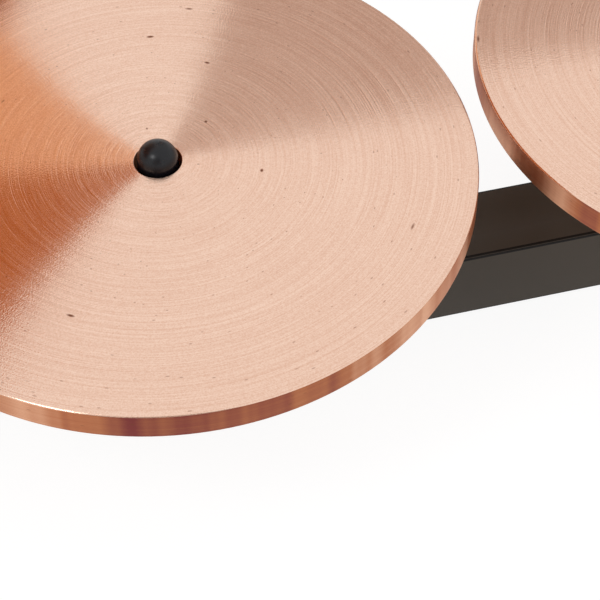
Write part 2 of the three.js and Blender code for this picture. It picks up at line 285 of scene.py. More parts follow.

# %% [markdown]
# The tone: each cut and each grain keeps a little dirt or shine of its own, so the metal is
# mottled by a few parts in a hundred. The rim was never faced as finely and is rougher. Its
# colour is painted reflection and shade: red, orange and pale bands from noise round the axis,
# over four slow swells that are turned differently on each disc.

# %% Bronze: colour and gloss
GRAIN_SHARE = 0.45
REFLECTION_BANDS_ROUND = 5.0
REFLECTION_SWELLS, REFLECTION_SWELL_SHARE = 4.0, 0.13
REFLECTION_SWELL_TURN, REFLECTION_SWELL_START = 2.0, -0.5  # radians: from each disc to the next, and on the first
REFLECTION_STREAK_SHARE = 0.15
RIM_DULLER = 0.30

mottle = add(tree, MIX, {0: GRAIN_SHARE, 2: cuts, 3: grain})
mottled = {"Value": mottle, "From Min": 0.36, "From Max": 0.64}
share = add(tree, "ShaderNodeMapRange", mottled)
tone = add(tree, MIX, {0: share, 6: BRONZE_DARK, 7: BRONZE_LIGHT}, data_type="RGBA")
reflection_band_place = add(
    tree,
    "ShaderNodeCombineXYZ",
    {0: spread.outputs["X"], 1: spread.outputs["Y"], 2: piece_number},
)
reflection_band_sizes = {"Scale": REFLECTION_BANDS_ROUND, "Detail": 3.0, "Roughness": 0.6}
reflection_bands = add(tree, NOISE, {"Vector": reflection_band_place, **reflection_band_sizes})
turned_by = {0: piece_number, 1: REFLECTION_SWELL_TURN, 2: REFLECTION_SWELL_START}
own_turn = add(tree, MATH, turned_by, operation="MULTIPLY_ADD")
turns = add(tree, MATH, {0: angle, 1: REFLECTION_SWELLS, 2: own_turn}, operation="MULTIPLY_ADD")
reflection_swell = add(tree, MATH, {0: turns}, operation="COSINE")
reflection_banded = add(tree, MATH, {0: reflection_swell, 1: REFLECTION_SWELL_SHARE, 2: reflection_bands}, operation="MULTIPLY_ADD")
reflection_streaked = add(tree, MATH, {0: cuts, 1: REFLECTION_STREAK_SHARE, 2: reflection_banded}, operation="MULTIPLY_ADD")
# The rim's red, orange and pale bands are painted reflection and shade, not wear or heat.
rim_painted_reflection = RIM_RED_PAINTED_SHADE
for first, last, colour in ((0.38, 0.56, RIM_ORANGE_PAINTED_REFLECTION), (0.56, 0.76, RIM_PALE_PAINTED_REFLECTION)):
    limits = {"Value": reflection_streaked, "From Min": first, "From Max": last}
    reached = add(tree, "ShaderNodeMapRange", limits)
    rim_painted_reflection = add(tree, MIX, {0: reached, 6: rim_painted_reflection, 7: colour}, data_type="RGBA")
toned = add(tree, MIX, {0: wall, 6: tone, 7: rim_painted_reflection}, data_type="RGBA")
pitted = add(tree, MIX, {0: pit, 6: toned, 7: PIT_BROWN}, data_type="RGBA")
face_gloss = {"From Min": 0.3, "From Max": 0.7, "To Min": 0.12, "To Max": 0.15}
gloss = add(tree, "ShaderNodeMapRange", {"Value": cuts, **face_gloss})
rim_gloss = add(tree, MATH, {0: wall, 1: RIM_DULLER, 2: gloss}, operation="MULTIPLY_ADD")
wire(shader, {"Base Color": pitted, "Roughness": rim_gloss})
print("bronze nodes:", len(tree.nodes))

# %% [markdown]
# ## Finish 2: satin black coat on the bars
# The bars are aluminium with a thin baked coat, satin and slightly warm. A coat like that is a
# plastic film, so the shader stays a dielectric. Fine orange peel gives it a soft sheen. Each
# edge has a fine dark line painted into the colour, a painted reflection.
# The bars' meshes mark those edges with an attribute, keen_edge.
#
# The finishes from here on are simpler than bronze. Their colour, their gloss or both follow one
# pattern, so one helper puts them on the shader.

# %% Bar coat
COAT_PEEL = 0.6 * MM
COAT_CLOUD = 22 * MM


def follow(tree, shader, pattern, tones=None, gloss=None):
    """Lets a colour run between two hex tones and a roughness between two values."""
    if tones:
        first, last = (linear(code) for code in tones)
        tone = add(tree, MIX, {0: pattern, 6: first, 7: last}, data_type="RGBA")
        wire(shader, {"Base Color": tone})
    if gloss:
        limits = {"From Min": 0.3, "From Max": 0.7, "To Min": gloss[0], "To Max": gloss[1]}
        wire(shader, {"Roughness": add(tree, "ShaderNodeMapRange", {"Value": pattern, **limits})})


bar_coat, tree, shader = new_finish("satin_black_baked_coat")
place = add(tree, "ShaderNodeTexCoord").outputs["Object"]
peel = add(tree, NOISE, {"Vector": place, "Scale": 1 / COAT_PEEL, "Detail": 2.0})
cloud = add(tree, NOISE, {"Vector": place, "Scale": 1 / COAT_CLOUD, "Detail": 3.0})
follow(tree, shader, cloud, gloss=(0.46, 0.54))
coat_tones = {0: cloud, 6: linear("#453f38"), 7: linear("#4d4740")}
coat_tone = add(tree, MIX, coat_tones, data_type="RGBA")
edge = add(tree, "ShaderNodeAttribute", attribute_name="keen_edge").outputs["Fac"]
# A dark line painted on each rounded bar edge: a painted reflection.
painted_dark_edges = add(tree, MIX, {0: edge, 6: coat_tone, 7: linear("#15110e")}, data_type="RGBA")
wire(
    shader,
    {"Base Color": painted_dark_edges, "Specular IOR Level": 0.2, "Normal": relief(tree, (peel, 0.006))},
)
print("bar coat nodes:", len(tree.nodes))

# %% [markdown]
# ## Finish 3: dipped vinyl
# A form is dipped in liquid vinyl and cured in an oven, which gives a smooth film of soft
# plastic, half glossy. A clear coat over black would look wet. One dielectric is enough, with a
# low ripple in its surface and its gloss, and that keeps the highlight on the dome soft.

# %% Vinyl
VINYL_RIPPLE = 1.4 * MM
vinyl, tree, shader = new_finish("black_dipped_vinyl")
place = add(tree, "ShaderNodeTexCoord").outputs["Object"]
ripple = add(tree, NOISE, {"Vector": place, "Scale": 1 / VINYL_RIPPLE, "Detail": 2.0})
follow(tree, shader, ripple, gloss=(0.26, 0.34))
wire(shader, {"Base Color": linear("#0e0e13"), "Specular IOR Level": 0.36})
wire(shader, {"Normal": relief(tree, (ripple, 0.02))})
print("vinyl nodes:", len(tree.nodes))

# %% [markdown]
# ## Finish 4: pressed wool felt
# Wool is matted with steam and pressed hard: no gloss, a sheen of loose fibre ends and a mottle
# of fibres. Hair by hair it would take millions of strands, under a disc that hides them. So the
# fibres are a bump, the loose ends are the shader's sheen, and slow lumps carry the mottle.

# %% Felt
FIBRE = 0.12 * MM  # a wool fibre is about a quarter of this, too fine to show
FELT_LUMP = 1.1 * MM
felt, tree, shader = new_finish("black_pressed_wool_felt")
place = add(tree, "ShaderNodeTexCoord").outputs["Object"]
fibre_sizes = {"Scale": 1 / FIBRE, "Detail": 3.0, "Distortion": 1.5}
fibres = add(tree, NOISE, {"Vector": place, **fibre_sizes})
lumps = add(tree, NOISE, {"Vector": place, "Scale": 1 / FELT_LUMP, "Detail": 4.0})
follow(tree, shader, lumps, tones=("#151516", "#303033"))
wire(shader, {"Roughness": 0.95, "Sheen Weight": 0.35, "Sheen Roughness": 0.5})
wire(shader, {"Normal": relief(tree, (fibres, 0.05), (lumps, 0.15))})
print("felt nodes:", len(tree.nodes))

# %% [markdown]
# ## Finish 5: turned steel with a black oxide
# The posts are turned from bar and blackened in a hot bath. The oxide is thin and leaves a dark
# metal with the turning marks in it, so the shader stays metallic. Rings could be drawn with a
# wave, which would look too even. Noise that is squeezed along the axis gives uneven ones.

# %% Blackened steel
TURNING_PITCH = 0.25 * MM  # a real feed is about half of this, too fine to show
MARK_LENGTH = 25 * MM  # the marks hardly change across a post
oxide, tree, shader = new_finish("turned_steel_black_oxide")
place = add(tree, "ShaderNodeTexCoord").outputs["Object"]
stretch = (1 / MARK_LENGTH, 1 / MARK_LENGTH, 1 / TURNING_PITCH)
squeezed = add(tree, "ShaderNodeMapping", {"Vector": place, "Scale": stretch})
marks = add(tree, NOISE, {"Vector": squeezed, "Scale": 1.0, "Detail": 2.0})
follow(tree, shader, marks, tones=("#2a2a2c", "#3b3a3a"), gloss=(0.3, 0.42))
wire(shader, {"Metallic": 1.0, "Normal": relief(tree, (marks, 0.01))})
print("blackened steel nodes:", len(tree.nodes))

# %% [markdown]
# ## Finish 6: zinc plate
# Screws and studs are plated with zinc, bright and a little cloudy. Its crystals are too small
# to draw one by one, so one soft noise in colour and gloss gives the cloud.

# %% Zinc
SPANGLE = 0.9 * MM  # the cloud of the plating, whose crystals are too fine to show
zinc, tree, shader = new_finish("steel_zinc_plated")
place = add(tree, "ShaderNodeTexCoord").outputs["Object"]
spangle = add(tree, NOISE, {"Vector": place, "Scale": 1 / SPANGLE, "Detail": 3.0})
follow(tree, shader, spangle, tones=("#b4b8bc", "#ccd0d3"), gloss=(0.25, 0.4))
wire(shader, {"Metallic": 1.0})
print("zinc nodes:", len(tree.nodes))

# %% [markdown]
# ## Finish 7: moulded nylon
# The knobs come from a mould that sparks have roughened, so they have a fine pebbled skin. Noise
# would look like sand. A cell pattern, whose cells are round and touch, gives the pebbles.

# %% Moulded plastic
SPARK = 0.35 * MM
moulded, tree, shader = new_finish("black_moulded_nylon")
place = add(tree, "ShaderNodeTexCoord").outputs["Object"]
spark = add(tree, "ShaderNodeTexVoronoi", {"Vector": place, "Scale": 1 / SPARK})
follow(tree, shader, spark, tones=("#242426", "#1b1b1d"))
wire(shader, {"Roughness": 0.48, "Normal": relief(tree, (spark, 0.03))})
print("finishes:", sorted(m.name for m in bpy.data.materials))

# %% [markdown]
# ## A lathe in Geometry Nodes
# Discs, posts, washers, caps, screws and knobs are all turned pieces, so one lathe serves them:
# a line with one point for each corner of the profile, each corner rounded by its own amount,
# swept round a small circle. The circle's curve normal points up, so the profile's first
# coordinate becomes height and its second the distance from the circle. The sweep leaves the
# faces pointing inwards, and Flip Faces mends that.

# %% The lathe
SPINDLE = 10 * MM
SAME_POINT = 0.001 * MM
A_HAIR = 0.01 * MM


def new_tree(name, sizes, vectors=()):
    """A Geometry Nodes tree, and its inputs by name: the host, floats and vectors."""
    made = bpy.data.node_groups.new(name, "GeometryNodeTree")
    made.interface.new_socket("Geometry", in_out="OUTPUT", socket_type="NodeSocketGeometry")
    made.interface.new_socket("Geometry", in_out="INPUT", socket_type="NodeSocketGeometry")
    for names, kind in ((sizes, "NodeSocketFloat"), (vectors, "NodeSocketVector")):
        for size in names:
            made.interface.new_socket(size, in_out="INPUT", socket_type=kind)
    group_input = add(made, "NodeGroupInput")
    return made, {socket.name: socket for socket in group_input.outputs if socket.name}


def lathe(tree, corners, sides, closed=True, segments=5):
    """Turns (radius, height, rounding in mm) corners, listed up the outside, about Z."""
    line = add(tree, "GeometryNodeMeshLine", {"Count": len(corners)})
    index = add(tree, "GeometryNodeInputIndex")
    places = add(tree, "GeometryNodeIndexSwitch", {0: index}, data_type="VECTOR")
    rounds = add(tree, "GeometryNodeIndexSwitch", {0: index}, data_type="FLOAT")
    for _ in corners[2:]:
        places.index_switch_items.new()
        rounds.index_switch_items.new()
    for number, (corner_radius, height, rounding) in enumerate(corners, start=1):
        corner = add(tree, "ShaderNodeCombineXYZ", {0: height, 1: corner_radius})
        wire(places, {number: corner})
        wire(rounds, {number: rounding * MM})
    drawn = add(
        tree,
        "GeometryNodeSetPosition",
        {"Geometry": line, "Position": places, "Offset": (0, -SPINDLE, 0)},
    )
    marked = add(
        tree,
        "GeometryNodeStoreNamedAttribute",
        {"Geometry": drawn, "Name": "rounding", "Value": rounds},
    )
    curve = add(tree, "GeometryNodeMeshToCurve", {0: marked})
    looped = add(tree, "GeometryNodeSetSplineCyclic", {0: curve, "Cyclic": closed})
    amount = add(tree, "GeometryNodeInputNamedAttribute", {"Name": "rounding"})
    rounded = add(
        tree,
        "GeometryNodeFilletCurve",
        {0: looped, "Count": segments, "Radius": amount, "Limit Radius": True},
        mode="POLY",
    )
    ring = {"Resolution": sides, "Radius": SPINDLE}
    circle = add(tree, "GeometryNodeCurvePrimitiveCircle", ring)
    up = {0: circle, "Normal": (0, 0, 1)}
    upright = add(tree, "GeometryNodeSetCurveNormal", up, mode="FREE")
    swept = add(tree, "GeometryNodeCurveToMesh", {0: upright, "Profile Curve": rounded})
    whole = add(tree, "GeometryNodeMergeByDistance", {0: swept, "Distance": SAME_POINT})
    cleaned = add(tree, "GeometryNodeRemoveAttribute", {0: whole, "Name": "rounding"})
    return add(tree, "GeometryNodeFlipFaces", {0: cleaned})


# %% [markdown]
# ## Shading, and how a tree ends
# A turned piece is smooth round its axis and keen at its corners. One angle for smooth shading
# would shade a narrow level ring as if it were curved, so level faces stay flat, and the rest is
# smooth up to an angle that each tree chooses. Every tree then paints its mesh and makes its
# instances real, because the export drops instances.

# %% Shading and endings
LEVEL_ENOUGH = 0.9999


def levelness(tree):
    """How level a face is: 1 on a level one, 0 on a wall."""
    normal = add(tree, "GeometryNodeInputNormal").outputs["True Normal"]
    up = add(tree, "ShaderNodeSeparateXYZ", {0: normal}).outputs["Z"]
    return add(tree, MATH, {0: up}, operation="ABSOLUTE")


def shade(tree, mesh, sharpest=38.0):
    """Smooth, except on level rings, which stay flat, and over bends of sharpest degrees."""
    level = add(tree, MATH, {0: levelness(tree), 1: LEVEL_ENOUGH}, operation="GREATER_THAN")
    bend = add(tree, "GeometryNodeInputMeshEdgeAngle")
    sharp = add(tree, MATH, {0: bend, 1: math.radians(sharpest)}, operation="GREATER_THAN")
    smooth = add(tree, "GeometryNodeSetShadeSmooth", {0: mesh, "Shade Smooth": True})
    for chosen, domain in ((level, "FACE"), (sharp, "EDGE")):
        flatter = {0: smooth, "Selection": chosen, "Shade Smooth": False}
        smooth = add(tree, "GeometryNodeSetShadeSmooth", flatter, domain=domain)
    return smooth


def end_tree(tree, mesh, finish, points=None):
    """Ends a tree: the mesh, or a copy of it on each point, painted in one finish."""
    if points:
        mesh = add(tree, "GeometryNodeInstanceOnPoints", {"Points": points, "Instance": mesh})
    painted = add(tree, "GeometryNodeSetMaterial", {0: mesh, "Material": finish})
    whole = add(tree, "GeometryNodeRealizeInstances", {0: painted})
    add(tree, "NodeGroupOutput", {0: whole})


# %% [markdown]
# ## From a tree to a piece
# A tree runs on a host mesh, whose points say where the copies stand. Its modifier could stay
# live, but the frame wants plain meshes, so the result is copied to one and the host removed.
# A modifier's inputs are set by their identifiers, because their names are only labels. Each
# piece is then parented to the body it rides on, and the CAD nodes it stands for are hidden.

# %% Growing and handing over


def grow(name, tree, values, points=()):
    """Runs a tree on a host mesh and keeps the result as a plain mesh object."""
    seed_mesh = bpy.data.meshes.new(name + "_places")
    seed_mesh.from_pydata([tuple(p) for p in points], [], [])
    host = bpy.data.objects.new(name + "_host", seed_mesh)
    scene.collection.objects.link(host)
    modifier = host.modifiers.new(tree.name, "NODES")
    modifier.node_group = tree
    for item in tree.interface.items_tree:
        if item.in_out == "INPUT" and item.name in values:
            modifier[item.identifier] = values[item.name]
    ready = host.evaluated_get(bpy.context.evaluated_depsgraph_get())
    piece = bpy.data.objects.new(name, bpy.data.meshes.new_from_object(ready))
    piece.data.name = name
    bpy.data.objects.remove(host)
    scene.collection.objects.link(piece)
    return piece


def measured(piece):
    """Its volume, which is positive when the faces point outwards, open edges and faces."""
    shell = bmesh.new()
    shell.from_mesh(piece.data)
    amount = shell.calc_volume(signed=True)
    gaps = sum(not edge.is_manifold for edge in shell.edges)
    shell.free()
    return f"{amount * 1e6:.2f} cm3, open edges {gaps}, faces {len(piece.data.polygons)}"


def carry(piece, body, slot, *nodes):
    """Says which body a piece rides on and which nodes it stands for; slot is not used."""
    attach(piece, body)
    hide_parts(*nodes)
    print(piece.name, measured(piece))


# %% [markdown]
# ## The discs
# Each disc is its own size, because its note depends on it: one thickness for all, and the
# diameter falls by the 24th root of two for each semitone. The boss on the underside stands on
# the felt. The tree's inputs are those sizes, and each disc reads its diameter from its node.

# %% Disc tree
DISC_SIDES = 192
DISC_SIZES = {
    "Thickness": 6.1 * MM,
    "Bore": 9.8 * MM,
    "Boss Diameter": 26.0 * MM,
    "Boss Taper": 1.5 * MM,
    "Boss Height": 5.0 * MM,
}
WALL_BELOW = 0.5  # a face that is less level than this is part of the rim

disc_tree, given = new_tree("turn_a_disc", ["Diameter", *DISC_SIZES, "Number"], ["Centre"])
rim, bore, boss = (
    add(disc_tree, MATH, {0: given[size], 1: 2.0}, operation="DIVIDE")
    for size in ("Diameter", "Bore", "Boss Diameter")
)
foot = add(disc_tree, MATH, {0: boss, 1: given["Boss Taper"]}, operation="SUBTRACT")
base = given["Boss Height"]
top = add(disc_tree, MATH, {0: base, 1: given["Thickness"]}, operation="ADD")
disc_corners = [
    (bore, 0.0, 0.3),
    (foot, 0.0, 0.5),
    (boss, base, 0.8),
    (rim, base, 0.55),
    (rim, top, 0.5),
    (bore, top, 0.12),
]
disc_mesh = lathe(disc_tree, disc_corners, DISC_SIDES)
on_wall = add(disc_tree, MATH, {0: levelness(disc_tree), 1: WALL_BELOW}, operation="LESS_THAN")
position = add(disc_tree, "GeometryNodeInputPosition")
for name, value, kinds in (
    ("turned_at", position, {"data_type": "FLOAT_VECTOR"}),
    ("wall", on_wall, {"domain": "FACE"}),
    ("piece_number", given["Number"], {}),
):
    kept = {"Geometry": disc_mesh, "Name": name, "Value": value}
    disc_mesh = add(disc_tree, "GeometryNodeStoreNamedAttribute", kept, **kinds)
to_its_post = {0: shade(disc_tree, disc_mesh), "Translation": given["Centre"]}
end_tree(disc_tree, add(disc_tree, "GeometryNodeTransform", to_its_post), bronze)
print("disc tree inputs:", sorted(given))

# %% Turn the thirteen discs
for number, note in enumerate(NOTES):
    node_name = f"crotale_{note}"
    low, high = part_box(node_name)
    own = {"Diameter": high.x - low.x, "Number": float(number), "Centre": axis_foot(node_name)}
    disc = grow(f"turned_disc_{note}", disc_tree, {**DISC_SIZES, **own})
    carry(disc, f"disc_{note}", "bronze", node_name)

# %% [markdown]
# ## Posts
# Posts, washers and caps repeat thirteen times, the same each time, so they are instances on a
# cloud of points, one point per note. A post is turned from round bar and then gets six milled
# flats for a spanner. The lathe makes the round bar, and a rule mills the flats: no point of
# that part may be further out than the hexagon is in its direction. A boolean cut would do it
# too, and leave long thin faces that shade badly.

# %% A miller's rule
TO_CORNERS = 2 / math.sqrt(3)  # a hexagon's width across corners over that across flats
print("corners over flats of a hexagon:", round(TO_CORNERS, 4))


def polar(tree):
    """The parts of a point's place, its angle about Z, its level place and how far out."""
    place = add(tree, "GeometryNodeInputPosition")
    parts = add(tree, "ShaderNodeSeparateXYZ", {0: place}).outputs
    turned = add(tree, MATH, {0: parts["Y"], 1: parts["X"]}, operation="ARCTAN2")
    level_place = add(tree, VECTORS, {0: place, 1: LEVEL}, operation="MULTIPLY")
    out = add(tree, VECTORS, {0: level_place}, operation="LENGTH")
    return parts, turned, level_place, out


def mill_hexagon(tree, mesh, half_flats, chosen):
    """Brings the chosen points in to a hexagon about the Z axis, with corners on Y."""
    parts, turned, _, out = polar(tree)
    sixth = math.radians(60)
    shifted = add(tree, MATH, {0: turned, 1: sixth / 2}, operation="ADD")
    wrapped = add(tree, MATH, {0: shifted, 1: sixth}, operation="FLOORED_MODULO")
    within = add(tree, MATH, {0: wrapped, 1: sixth / 2}, operation="SUBTRACT")
    slant = add(tree, MATH, {0: within}, operation="COSINE")
    flat_at = add(tree, MATH, {0: half_flats, 1: slant}, operation="DIVIDE")
    reach = add(tree, MATH, {0: flat_at, 1: out}, operation="DIVIDE")
    scale = add(tree, MATH, {0: reach, 1: 1.0}, operation="MINIMUM")
    x, y = (add(tree, MATH, {0: parts[axis], 1: scale}, operation="MULTIPLY") for axis in "XY")
    milled = add(tree, "ShaderNodeCombineXYZ", {0: x, 1: y, 2: parts["Z"]})
    to_flats = {"Geometry": mesh, "Selection": chosen, "Position": milled}
    return add(tree, "GeometryNodeSetPosition", to_flats)


# %% Posts
POST_SIDES = 72
SPIGOT_DEPTH = 12 * MM
POST_FOOT = 0.25 * MM
POST_STUD = 3.175 * MM
SHANK = 5.5 * MM
SEAT = 11.0 * MM
SEAT_LOW = 19.3 * MM
SEAT_TOP = 21.5 * MM
STUD_TOP = 37.8 * MM

post_tree, given = new_tree("turn_a_post", ["Across Flats", "Flats Height"])
half_flats = add(post_tree, MATH, {0: given["Across Flats"], 1: 2.0}, operation="DIVIDE")
blank = add(post_tree, MATH, {0: half_flats, 1: TO_CORNERS}, operation="MULTIPLY")
nut_top = given["Flats Height"]
post_corners = [
    (0.0, -SPIGOT_DEPTH, 0.0),
    (POST_STUD, -SPIGOT_DEPTH, 0.4),
    (POST_STUD, POST_FOOT, 0.0),
    (blank, POST_FOOT, 0.5),
    (blank, nut_top, 0.9),
    (SHANK, nut_top, 0.4),
    (SHANK, SEAT_LOW, 1.6),
    (SEAT, SEAT_LOW, 0.4),
    (SEAT, SEAT_TOP, 0.4),
    (POST_STUD, SEAT_TOP, 0.2),
    (POST_STUD, STUD_TOP, 0.5),
    (0.0, STUD_TOP, 0.0),
]
post_mesh = lathe(post_tree, post_corners, POST_SIDES, closed=False)
nut_ends = add(post_tree, MATH, {0: nut_top, 1: A_HAIR}, operation="ADD")
post_place = add(post_tree, "GeometryNodeInputPosition")
how_high = add(post_tree, "ShaderNodeSeparateXYZ", {0: post_place}).outputs["Z"]
on_nut = add(post_tree, MATH, {0: how_high, 1: nut_ends}, operation="LESS_THAN")
milled = mill_hexagon(post_tree, post_mesh, half_flats, on_nut)
end_tree(post_tree, shade(post_tree, milled, sharpest=12.0), oxide, given["Geometry"])
posts = grow(
    "turned_posts",
    post_tree,
    {"Across Flats": 14.3 * MM, "Flats Height": 6.0 * MM},
    [axis_foot(f"post_{note}") + Vector((0, 0, SPIGOT_DEPTH)) for note in NOTES],
)
carry(posts, "frame", "black_steel", *[f"post_{note}" for note in NOTES])

# %% [markdown]
# ## Washers
# A washer is punched from felt. A plain ring would be as keen as metal, so the lathe gives it a
# soft belly, and a noise pushes its skin in and out along the normals. That push comes after the
# instances are made real: the noise reads where each point is, so no two washers match.

# %% Washers
FELT_SIDES = 96
FELT_BULGE = 0.25 * MM
FELT_UNEVEN = 2.2 * MM  # from one soft lump in its surface to the next

felt_tree, given = new_tree("press_a_washer", ["Diameter", "Bore", "Thickness", "Unevenness"])
outer, inner, waist = (
    add(felt_tree, MATH, {0: given[size], 1: 2.0}, operation="DIVIDE")
    for size in ("Diameter", "Bore", "Thickness")
)
bulge = add(felt_tree, MATH, {0: outer, 1: FELT_BULGE}, operation="ADD")
felt_corners = [
    (inner, 0.0, 0.3),
    (outer, 0.0, 0.8),
    (bulge, waist, 3.0),
    (outer, given["Thickness"], 0.8),
    (inner, given["Thickness"], 0.3),
]
felt_mesh = lathe(felt_tree, felt_corners, FELT_SIDES)
laid = {"Points": given["Geometry"], "Instance": felt_mesh}
washer_on_each = add(felt_tree, "GeometryNodeInstanceOnPoints", laid)
loose = add(felt_tree, "GeometryNodeRealizeInstances", {0: washer_on_each})
lump_place = add(felt_tree, "GeometryNodeInputPosition")
lump = add(felt_tree, NOISE, {"Vector": lump_place, "Scale": 1 / FELT_UNEVEN, "Detail": 2.0})
centred = add(felt_tree, MATH, {0: lump, 1: 0.5}, operation="SUBTRACT")
amount = add(felt_tree, MATH, {0: centred, 1: given["Unevenness"]}, operation="MULTIPLY")
outwards = add(felt_tree, "GeometryNodeInputNormal").outputs["Normal"]
push = add(felt_tree, VECTORS, {0: outwards, "Scale": amount}, operation="SCALE")
uneven = add(felt_tree, "GeometryNodeSetPosition", {"Geometry": loose, "Offset": push})
smooth = add(felt_tree, "GeometryNodeSetShadeSmooth", {0: uneven, "Shade Smooth": True})
end_tree(felt_tree, smooth, felt)
washers = grow(
    "felt_washers",
    felt_tree,
    {"Diameter": 25.0 * MM, "Bore": 9.2 * MM, "Thickness": 5.0 * MM, "Unevenness": 0.3 * MM},
    [axis_foot(f"felt_{note}") for note in NOTES],
)
carry(washers, "frame", "black_felt", *[f"felt_{note}" for note in NOTES])

# %% [markdown]
# ## Caps
# A cap is a thin tube with a round end, pushed over the stud. A sphere on a cylinder would do for
# its outside and leave no wall. So the profile runs down inside and up outside, and its last
# corner is rounded by almost the whole radius, which makes the dome. The drip of the dip leaves
# a dimple at the top.

# %% Caps
CAP_SIDES = 72
CAP_ROOF = 4.15 * MM
DIMPLE_RADIUS = 0.24 * MM
DIMPLE_DEPTH = 0.14 * MM

cap_tree, given = new_tree("dip_a_cap", ["Diameter", "Wall", "Height"])
outer = add(cap_tree, MATH, {0: given["Diameter"], 1: 2.0}, operation="DIVIDE")
inner = add(cap_tree, MATH, {0: outer, 1: given["Wall"]}, operation="SUBTRACT")
ceiling = add(cap_tree, MATH, {0: given["Height"], 1: CAP_ROOF}, operation="SUBTRACT")
dimple = add(cap_tree, MATH, {0: given["Height"], 1: DIMPLE_DEPTH}, operation="SUBTRACT")
cap_corners = [
    (0.0, ceiling, 0.0),
    (inner, ceiling, 0.0),
    (inner, 0.0, 0.2),
    (outer, 0.0, 0.2),
    (outer, given["Height"], 3.9),
    (DIMPLE_RADIUS, given["Height"], 0.1),
    (0.0, dimple, 0.0),
]
cap_mesh = lathe(cap_tree, cap_corners, CAP_SIDES, closed=False, segments=14)
end_tree(cap_tree, shade(cap_tree, cap_mesh), vinyl, given["Geometry"])
low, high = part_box("cap_e")
caps = grow(
    "vinyl_caps",
    cap_tree,
    {"Diameter": 8.3 * MM, "Wall": 0.675 * MM, "Height": high.z - low.z},
    [axis_foot(f"cap_{note}") for note in NOTES],
)
carry(caps, "frame", "black_vinyl", *[f"cap_{note}" for note in NOTES])

# %% [markdown]
# ## Bars
# The bars are right as the CAD has them. Only their edges are too keen: a real extruded and
# coated edge is a small round. So each bar is a copy of its node, merged into one shell, with
# every sharp edge rounded. A Bevel modifier would round them too. The script does it instead,
# because it can then mark the new faces for the painted dark edge line with an attribute.

# %% Bars
BAR_ROUNDING = 0.3 * MM
FLAT_ENOUGH = math.radians(1)
KEEN = math.radians(34)
STAYS_SHARP = math.radians(30)


def rounded_copy(node_name, finish):
    """A merged copy of a CAD node with its sharp edges rounded."""
    shell = bmesh.new()
    shell.from_mesh(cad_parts[node_name].data)
    bmesh.ops.remove_doubles(shell, verts=shell.verts, dist=SAME_POINT)
    everything = {"verts": shell.verts, "edges": shell.edges}
    bmesh.ops.dissolve_limit(shell, angle_limit=FLAT_ENOUGH, **everything)
    keen_edge = shell.faces.layers.float.new("keen_edge")
    keen = [e for e in shell.edges if e.is_manifold and e.calc_face_angle(0) > KEEN]
    shape = {"offset": BAR_ROUNDING, "segments": 2, "profile": 0.5, "clamp_overlap": True}
    rounded = bmesh.ops.bevel(shell, geom=keen, affect="EDGES", **shape)
    for face in rounded["faces"]:
        face[keen_edge] = 1.0
    bmesh.ops.triangulate(shell, faces=shell.faces)
    shell.verts.index_update()
    listed = sorted(shell.faces, key=lambda face: sorted(v.index for v in face.verts))
    for place, face in enumerate(listed):  # triangulate's own order changes from run to run
        face.index = place
    shell.faces.sort()
    mesh = bpy.data.meshes.new(f"coated_{node_name}")
    shell.to_mesh(mesh)
    shell.free()
    mesh.materials.append(finish)
    mesh.shade_smooth()
    mesh.set_sharp_from_angle(angle=STAYS_SHARP)
    piece = bpy.data.objects.new(mesh.name, mesh)
    scene.collection.objects.link(piece)
    return piece


for node_name in ("front_bar", "rear_bar", "cross_bar_left", "cross_bar_right"):
    carry(rounded_copy(node_name, bar_coat), "frame", "black_bar", node_name)

# %% [markdown]
# ## Clamp knobs
# Each cross bar has a bore for a stand's rod, and a star knob with a steel stud that clamps it.
# The knob is moulded, with six lobes for wet hands. A rule makes the lobes: the further out a
# point is, the more it follows a wave of six round the axis. The stud's own slot is lost when a
# knob is one piece, so the tree sets steel on the stud's faces and nylon on the rest.

# %% Knobs
KNOB_SIDES = 144
KNOB_RADIUS = 8.525 * MM
KNOB_STUD = 3.0 * MM
STUD_LENGTH = 6.45 * MM
HUB_RADIUS = 5.0 * MM
HUB_LENGTH = 4.0 * MM
DISH_RIM = 4.3 * MM
DISH_RADIUS = 4.0 * MM
DISH_DEPTH = 0.5 * MM
LOBE_DIP = 1.5 * MM
LOBE_POWER = 4.0  # keeps the lobes to the outside of the knob

knob_sizes = ["Radius", "Thickness", "Lobes", "Dip"]
knob_tree, given = new_tree("mould_a_knob", knob_sizes, ["Tip", "Turn"])
shoulder = STUD_LENGTH + HUB_LENGTH
outer = given["Radius"]
face = add(knob_tree, MATH, {0: given["Thickness"], 1: shoulder}, operation="ADD")
dish = add(knob_tree, MATH, {0: face, 1: DISH_DEPTH}, operation="SUBTRACT")
knob_corners = [
    (0.0, 0.0, 0.0),
    (KNOB_STUD, 0.0, 0.6),
    (KNOB_STUD, STUD_LENGTH, 0.0),
    (HUB_RADIUS, STUD_LENGTH, 0.4),
    (HUB_RADIUS, shoulder, 0.6),
    (outer, shoulder, 1.1),
    (outer, face, 1.5),
    (DISH_RIM, face, 0.4),
    (DISH_RADIUS, dish, 0.3),
    (0.0, dish, 0.0),
]
knob_mesh = lathe(knob_tree, knob_corners, KNOB_SIDES, closed=False, segments=6)
parts, turned, level_place, out = polar(knob_tree)
waves = add(knob_tree, MATH, {0: turned, 1: given["Lobes"]}, operation="MULTIPLY")
wave = add(knob_tree, MATH, {0: waves}, operation="COSINE")
trough = add(knob_tree, MATH, {0: 1.0, 1: wave}, operation="SUBTRACT")
dip = add(knob_tree, MATH, {0: trough, 1: given["Dip"]}, operation="MULTIPLY")
width = add(knob_tree, MATH, {0: outer, 1: 2.0}, operation="MULTIPLY")
inwards = add(knob_tree, MATH, {0: dip, 1: width}, operation="DIVIDE")
how_far_out = add(knob_tree, MATH, {0: out, 1: outer}, operation="DIVIDE")
